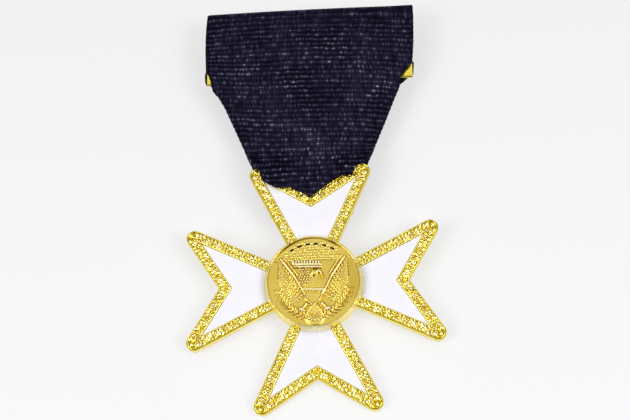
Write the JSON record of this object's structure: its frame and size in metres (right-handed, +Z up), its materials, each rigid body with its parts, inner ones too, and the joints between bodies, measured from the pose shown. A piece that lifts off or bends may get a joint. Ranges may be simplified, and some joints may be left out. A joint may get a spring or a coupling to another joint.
{
  "type": "masonic jewel",
  "caption": "Gilt and white enamel forked cross with a struck medallion on a dark folded grosgrain ribbon drape with a brooch pin, worn on the chest.",
  "frame": {"origin": "middle of the footprint, on the surface that the jewel lies on", "axes": "+Y from the cross towards the top of the ribbon, +Z up out of the face, +X to the right of someone who looks down on the face with the ribbon away from them"},
  "size_m": [0.0434, 0.0761, 0.0072],
  "materials": {
    "grosgrain": "ribbed navy-black grosgrain",
    "gilt_plate": "bright gilt",
    "pin_wire": "bright gilt wire",
    "gilt_cross": "polished bright gilt",
    "white_enamel": "glossy white enamel",
    "gilt_medallion": "satin gilt"
  },
  "bodies": {
    "root": {"ribbon": "grosgrain", "brooch_plate": "gilt_plate", "pin_stem": "pin_wire", "cross": "gilt_cross", "enamel_top": "white_enamel", "enamel_left": "white_enamel", "enamel_bottom": "white_enamel", "enamel_right": "white_enamel", "medallion": "gilt_medallion"}
  },
  "joints": []
}
